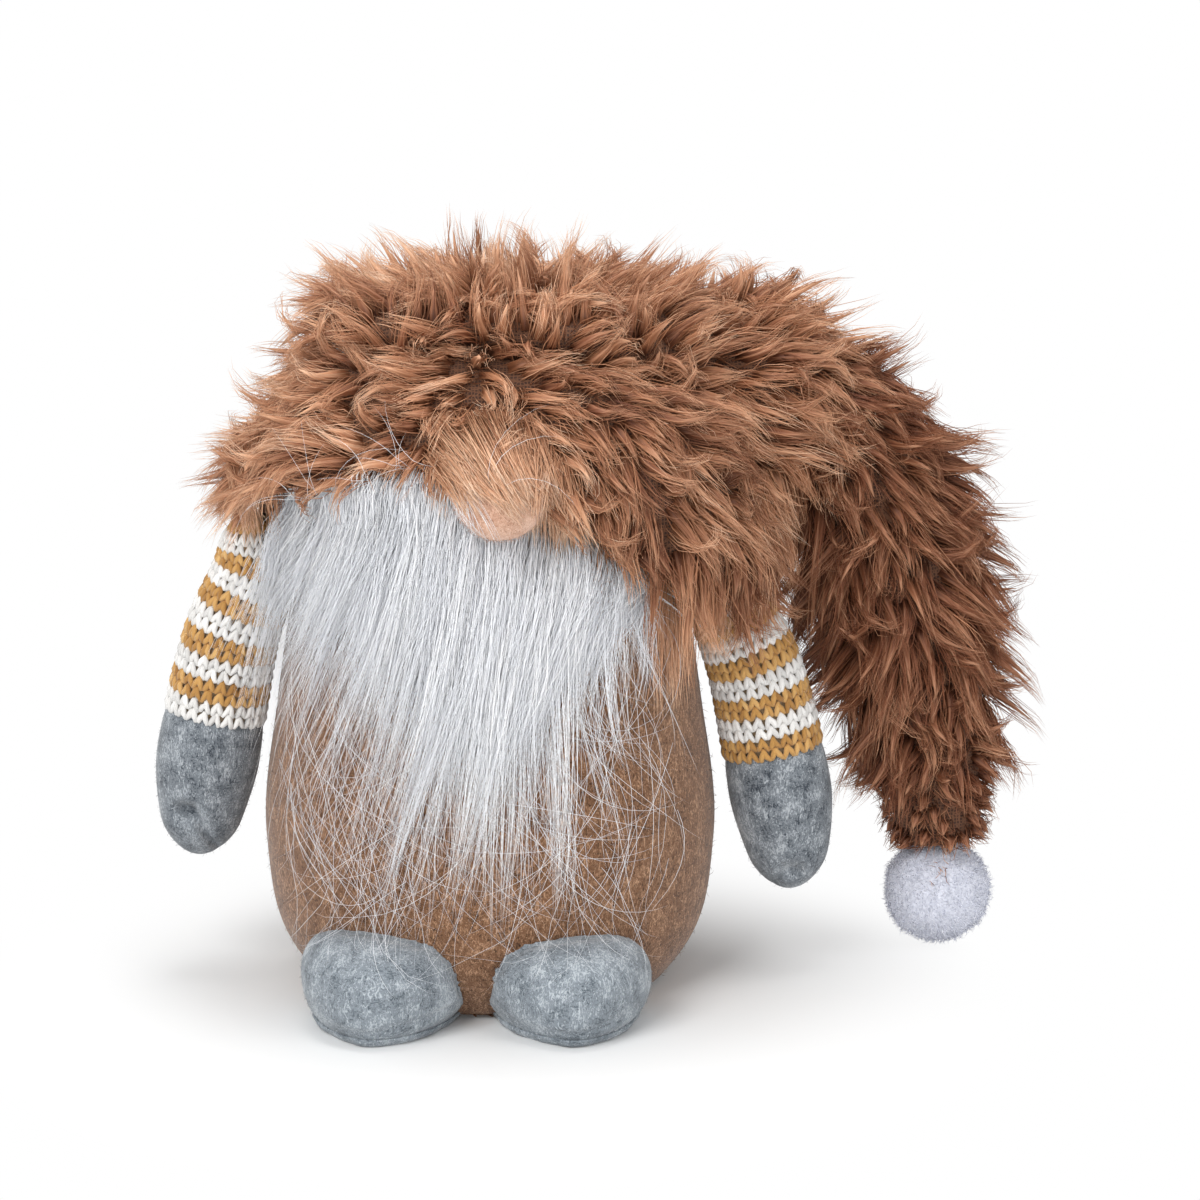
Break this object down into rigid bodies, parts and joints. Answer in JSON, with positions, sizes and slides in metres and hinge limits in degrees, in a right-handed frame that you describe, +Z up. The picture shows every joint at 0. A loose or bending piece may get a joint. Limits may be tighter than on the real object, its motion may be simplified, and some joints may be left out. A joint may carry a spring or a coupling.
{
  "type": "stuffed elf figurine",
  "caption": "Standing stuffed elf figurine: weighted felt sack body, knitted arms, felt mittens and feet, long beard, and a floppy fur hat whose tail ends in a pompom.",
  "frame": {"origin": "centre of the flat base, on the surface that the figurine stands on", "axes": "+Z up, the face towards -Y, +X towards the figure's own left hand, where the hat's tail hangs"},
  "size_m": [0.2145, 0.1191, 0.1829],
  "materials": {
    "brown_felt": "heathered brown wool felt",
    "grey_felt": "mottled grey wool felt",
    "brown_fur": "long-pile brown faux fur in pointed locks",
    "white_hair": "long silky white faux hair",
    "striped_knit": "plain knit in white and mustard stripes of two rows",
    "white_fluff": "dense white cotton-like pompom fibre",
    "nose_cloth": "peach brushed cloth",
    "fibre_filling": "loose polyester filling",
    "pellet_cloth": "plain cotton bag filled with pellets",
    "white_thread": "twisted sewing thread"
  },
  "bodies": {
    "torso": {"body_front_panel": "brown_felt", "body_back_panel": "brown_felt", "base_disc": "brown_felt", "body_stuffing": "fibre_filling", "weight_bag": "pellet_cloth", "hat_crown": "brown_fur", "hat_stuffing": "fibre_filling", "nose": "nose_cloth", "beard_backing": "white_hair"},
    "beard": {"beard_hair": "white_hair"},
    "hat_tail": {"hat_tail": "brown_fur"},
    "pompom": {"pompom": "white_fluff", "pompom_thread": "white_thread"},
    "left_arm": {"left_sleeve": "striped_knit", "left_mitten": "grey_felt", "left_arm_stuffing": "fibre_filling"},
    "right_arm": {"right_sleeve": "striped_knit", "right_mitten": "grey_felt", "right_arm_stuffing": "fibre_filling"},
    "left_foot": {"left_foot_upper": "grey_felt", "left_foot_sole": "grey_felt", "left_foot_stuffing": "fibre_filling"},
    "right_foot": {"right_foot_upper": "grey_felt", "right_foot_sole": "grey_felt", "right_foot_stuffing": "fibre_filling"}
  },
  "joints": [
    {"name": "beard_lift", "type": "hinge", "parent": "torso", "child": "beard", "pos_m": [-0.003, -0.0455, 0.11], "axis": [-0.9552, 0, 0.2961], "range_deg": [0, 45]},
    {"name": "hat_tail_lift", "type": "hinge", "parent": "torso", "child": "hat_tail", "pos_m": [0.062, 0.01, 0.148], "axis": [0, -1, 0], "range_deg": [0, 60]},
    {"name": "pompom_swing", "type": "hinge", "parent": "hat_tail", "child": "pompom", "pos_m": [0.115, 0.02, 0.031], "axis": [0, -1, 0], "range_deg": [-25, 25]},
    {"name": "left_arm_swing", "type": "hinge", "parent": "torso", "child": "left_arm", "pos_m": [0.0595, 0, 0.101], "axis": [-1, 0, 0], "range_deg": [-30, 45]},
    {"name": "right_arm_swing", "type": "hinge", "parent": "torso", "child": "right_arm", "pos_m": [-0.0573, 0, 0.11], "axis": [-1, 0, 0], "range_deg": [-30, 45]},
    {"name": "left_foot_flex", "type": "hinge", "parent": "torso", "child": "left_foot", "pos_m": [0.02, -0.044, 0.0255], "axis": [-1, 0, 0], "range_deg": [0, 35]},
    {"name": "right_foot_flex", "type": "hinge", "parent": "torso", "child": "right_foot", "pos_m": [-0.0256, -0.0425, 0.0255], "axis": [-1, 0, 0], "range_deg": [0, 35]}
  ]
}
